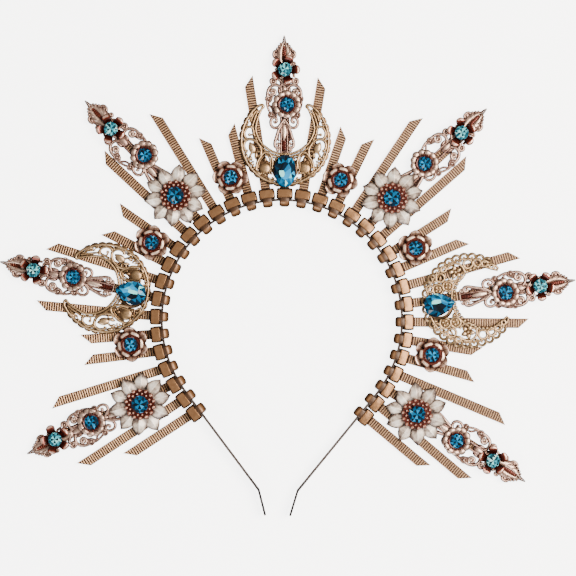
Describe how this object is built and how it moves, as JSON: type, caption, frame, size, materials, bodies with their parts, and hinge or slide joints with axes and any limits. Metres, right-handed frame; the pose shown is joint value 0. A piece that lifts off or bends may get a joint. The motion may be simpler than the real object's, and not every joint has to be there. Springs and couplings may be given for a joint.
{
  "type": "halo crown",
  "caption": "Halo crown worn on the head: a springy steel horseshoe headband carries cable ties as rays, with filigree spires, crescents and flowers set with blue stones.",
  "frame": {"origin": "centre of the headband's arc, on the surface that the crown lies on", "axes": "+Z out of the worn front, +Y towards the crown's top, +X towards its right side seen from the front"},
  "size_m": [0.2878, 0.2399, 0.0092],
  "materials": {
    "steel": "darkened spring steel strip, satin",
    "cable_tie": "nylon sprayed a satin gold-bronze",
    "rose_filigree": "stamped filigree with pale rose-gold plating, brown in its recesses",
    "gold_filigree": "stamped filigree with pale gold plating",
    "cream_enamel": "pearly cream enamel on metal",
    "rose_metal": "pale rose-gold plating with dark copper recesses",
    "blue_glass": "faceted foil-backed glass",
    "aqua_glass": "faceted foil-backed glass"
  },
  "bodies": {
    "root": {"headband": "steel", "tie_01": "cable_tie", "tie_02": "cable_tie", "tie_03": "cable_tie", "tie_04": "cable_tie", "tie_05": "cable_tie", "tie_06": "cable_tie", "tie_07": "cable_tie", "tie_08": "cable_tie", "tie_09": "cable_tie", "tie_10": "cable_tie", "tie_11": "cable_tie", "tie_12": "cable_tie", "tie_13": "cable_tie", "tie_14": "cable_tie", "tie_15": "cable_tie", "tie_16": "cable_tie", "tie_17": "cable_tie", "tie_18": "cable_tie", "tie_19": "cable_tie", "tie_20": "cable_tie", "tie_21": "cable_tie", "tie_22": "cable_tie", "tie_23": "cable_tie", "tie_24": "cable_tie", "tie_25": "cable_tie", "tie_26": "cable_tie", "tie_27": "cable_tie", "tie_28": "cable_tie", "tie_29": "cable_tie", "tie_30": "cable_tie", "tie_31": "cable_tie", "tie_32": "cable_tie", "tie_33": "cable_tie", "tie_34": "cable_tie", "tie_35": "cable_tie", "spire_lower_left": "rose_filigree", "spire_left": "rose_filigree", "spire_upper_left": "rose_filigree", "spire_top": "rose_filigree", "spire_upper_right": "rose_filigree", "spire_right": "rose_filigree", "spire_lower_right": "rose_filigree", "crescent_left": "gold_filigree", "crescent_top": "gold_filigree", "crescent_right": "gold_filigree", "daisy_lower_left": "cream_enamel", "daisy_upper_left": "cream_enamel", "daisy_upper_right": "cream_enamel", "daisy_lower_right": "cream_enamel", "rose_lower_left": "rose_metal", "rose_upper_left": "rose_metal", "rose_top_left": "rose_metal", "rose_top_right": "rose_metal", "rose_upper_right": "rose_metal", "rose_lower_right": "rose_metal", "oval_crystal": "blue_glass", "pear_crystals": "blue_glass", "blue_stones": "blue_glass", "aqua_stones": "aqua_glass"}
  },
  "joints": []
}
